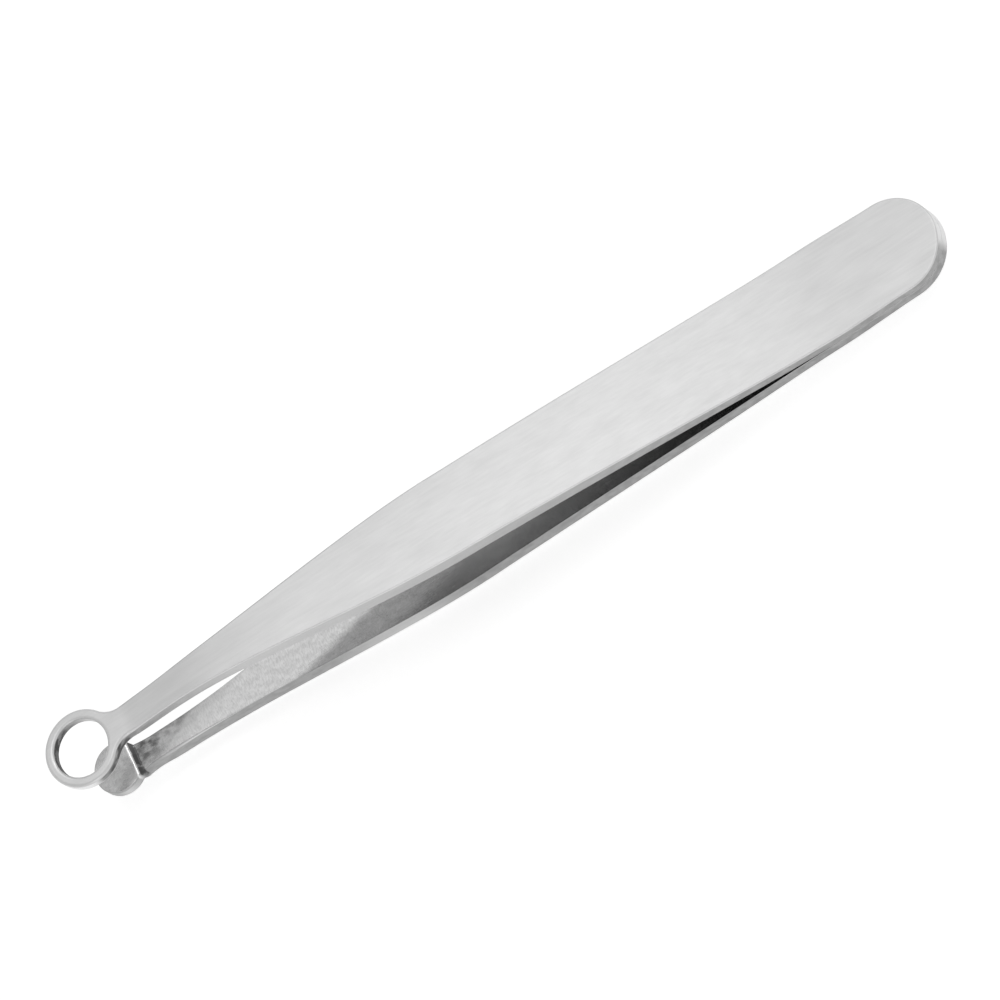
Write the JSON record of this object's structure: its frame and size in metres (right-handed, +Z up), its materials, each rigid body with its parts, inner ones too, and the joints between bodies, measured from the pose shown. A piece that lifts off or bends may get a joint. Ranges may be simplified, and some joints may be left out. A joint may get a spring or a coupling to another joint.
{
  "type": "nose hair trimmer",
  "caption": "Manual steel nose hair trimmer: sprung arms joined at the tail, one ending in a ring, the other in a stepped disc that closes into the ring.",
  "frame": {"origin": "middle of the bounding box on the surface that the trimmer lies on", "axes": "+X along the trimmer from its welded tail to its ring, +Y across the arms, +Z up from the cutter arm to the ring arm"},
  "size_m": [0.0948, 0.0094, 0.0106],
  "materials": {
    "satin_steel": "satin, finely brushed"
  },
  "bodies": {
    "tail": {"ring_arm_root": "satin_steel", "cutter_arm_root": "satin_steel"},
    "ring_arm": {"ring_arm": "satin_steel"},
    "cutter_arm": {"cutter_arm": "satin_steel"}
  },
  "joints": [
    {"name": "ring_arm_flex", "type": "hinge", "parent": "tail", "child": "ring_arm", "pos_m": [-0.01945, 0, 0.0044], "axis": [0, 1, 0], "range_deg": [0, 3], "stiffness_Nm_per_rad": 6},
    {"name": "cutter_arm_flex", "type": "hinge", "parent": "tail", "child": "cutter_arm", "pos_m": [-0.01929, 0, 0.00121], "axis": [0, -1, 0], "range_deg": [0, 3], "stiffness_Nm_per_rad": 6}
  ],
  "couplings": [
    {"joint": "cutter_arm_flex", "follows": "ring_arm_flex", "ratio": 1}
  ]
}
